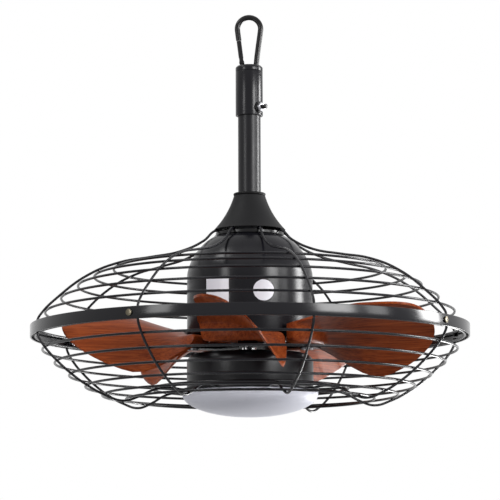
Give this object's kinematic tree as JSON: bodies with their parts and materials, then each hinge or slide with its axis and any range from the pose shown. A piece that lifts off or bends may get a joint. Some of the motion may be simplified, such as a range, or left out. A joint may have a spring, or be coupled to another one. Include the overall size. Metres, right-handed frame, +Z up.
{
  "type": "outdoor ceiling fan with light",
  "caption": "Caged outdoor ceiling fan: pitched wood-look blades in a flat round wire guard, under a black motor on a short rod with a snap hook, with a shallow opal light dish below",
  "frame": {"origin": "the inner top of the hook's round end, on the fan's vertical axis, where it rests on its hanger", "axes": "+Z up along the downrod and the rotor's axis, -Y the front seen in the picture, +X to the right; the hook's plane is XZ"},
  "size_m": [0.5599, 0.56, 0.5202],
  "materials": {
    "black_frame": "satin black powder coat",
    "bright_steel": "zinc plated, half bright",
    "black_rubber": "smooth black rubber",
    "cast_iron": "machined, lightly oiled",
    "core_steel": "stacked electrical steel, dull",
    "copper": "varnished winding wire",
    "cast_aluminium": "die cast, matt",
    "sheet_aluminium": "mill finish sheet",
    "white_plastic": "matt white moulding",
    "white_label": "plain white film, nothing printed",
    "opal_plastic": "opal white, satin gloss",
    "wood_blade": "red brown wood grain under clear lacquer"
  },
  "bodies": {
    "fan_body": {"hook_frame": "black_frame", "gate_lug": "black_frame", "gate_rivet": "black_frame", "hanger_cap": "black_frame", "hanger_sleeve": "black_frame", "sleeve_bolt": "black_frame", "sleeve_nut": "bright_steel", "sleeve_washer": "black_frame", "downrod": "black_frame", "neck_bead": "black_rubber", "neck_cover": "black_frame", "yoke": "cast_iron", "yoke_pin": "bright_steel", "yoke_set_screws": "bright_steel", "motor_cover": "black_frame", "rating_label": "white_label", "round_label": "white_label", "control_box": "white_plastic", "motor_shaft": "bright_steel", "light_leads": "white_plastic", "stator_core": "core_steel", "stator_windings": "copper", "upper_bearing": "bright_steel", "lower_bearing": "bright_steel", "upper_guard_collar": "black_frame", "upper_collar_screws": "bright_steel", "upper_guard_ribs": "black_frame", "upper_guard_rings": "black_frame", "guard_hoop": "black_frame", "hoop_tabs": "black_frame", "hoop_bolts": "black_frame", "hoop_nuts": "bright_steel", "lower_guard_ribs": "black_frame", "lower_guard_rings": "black_frame", "lower_guard_collar": "black_frame", "lower_collar_screws": "bright_steel", "light_pan": "black_frame", "pan_nut": "bright_steel", "light_connector": "white_plastic", "led_plate": "sheet_aluminium", "led_board": "white_plastic", "led_driver": "white_plastic", "led_plate_screws": "bright_steel"},
    "gate": {"hook_gate": "black_frame"},
    "rotor": {"rotor_upper_shell": "cast_aluminium", "rotor_lower_shell": "cast_aluminium", "rotor_cage": "core_steel", "flywheel": "black_frame", "blade_1": "wood_blade", "blade_2": "wood_blade", "blade_3": "wood_blade", "blade_4": "wood_blade", "blade_5": "wood_blade", "blade_screws": "bright_steel"},
    "diffuser": {"light_diffuser": "opal_plastic"}
  },
  "joints": [
    {"name": "gate_hinge", "type": "hinge", "parent": "fan_body", "child": "gate", "pos_m": [-0.00958, 0, -0.0555], "axis": [0, 1, 0], "range_deg": [0, 25], "stiffness_Nm_per_rad": 0.03, "springref_deg": -17.19},
    {"name": "rotor_spin", "type": "hinge", "parent": "fan_body", "child": "rotor", "pos_m": [0, 0, -0.3568], "axis": [0, 0, 1], "continuous": true},
    {"name": "diffuser_twist", "type": "hinge", "parent": "fan_body", "child": "diffuser", "pos_m": [0, 0, -0.4798], "axis": [0, 0, 1], "range_deg": [0, 28]}
  ]
}
